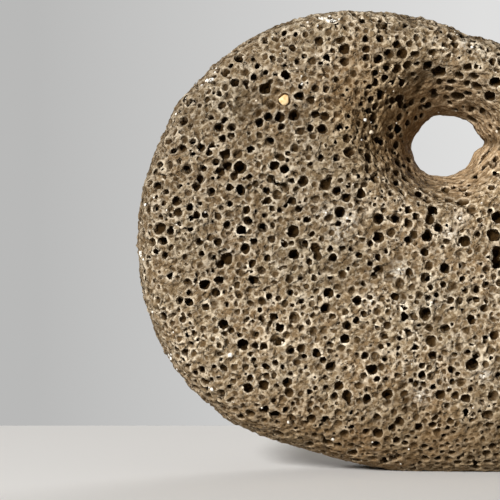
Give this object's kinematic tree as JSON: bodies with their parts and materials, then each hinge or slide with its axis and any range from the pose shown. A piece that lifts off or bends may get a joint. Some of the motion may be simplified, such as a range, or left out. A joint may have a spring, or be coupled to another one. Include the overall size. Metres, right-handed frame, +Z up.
{
  "type": "pumice stone",
  "caption": "Rounded slab of vesicular pumice standing on its long edge, pierced by one natural flared hole, with a small pebble lodged in a pore.",
  "frame": {"origin": "on the ground under the middle of the stone's bounding box, at the level of the flat it rests on", "axes": "+X along the stone's length, with the hole near the middle of it; +Y through its thickness, towards the back; +Z up; the face with the wider hole mouth is towards -Y"},
  "size_m": [0.2201, 0.0636, 0.1594],
  "materials": {
    "pumice": "raw vesicular volcanic rock, tan brown with paler rims between the pores",
    "cream_pebble": "smooth matt cream-yellow pebble"
  },
  "bodies": {
    "root": {"stone": "pumice", "lodged_pebble": "cream_pebble"}
  },
  "joints": []
}
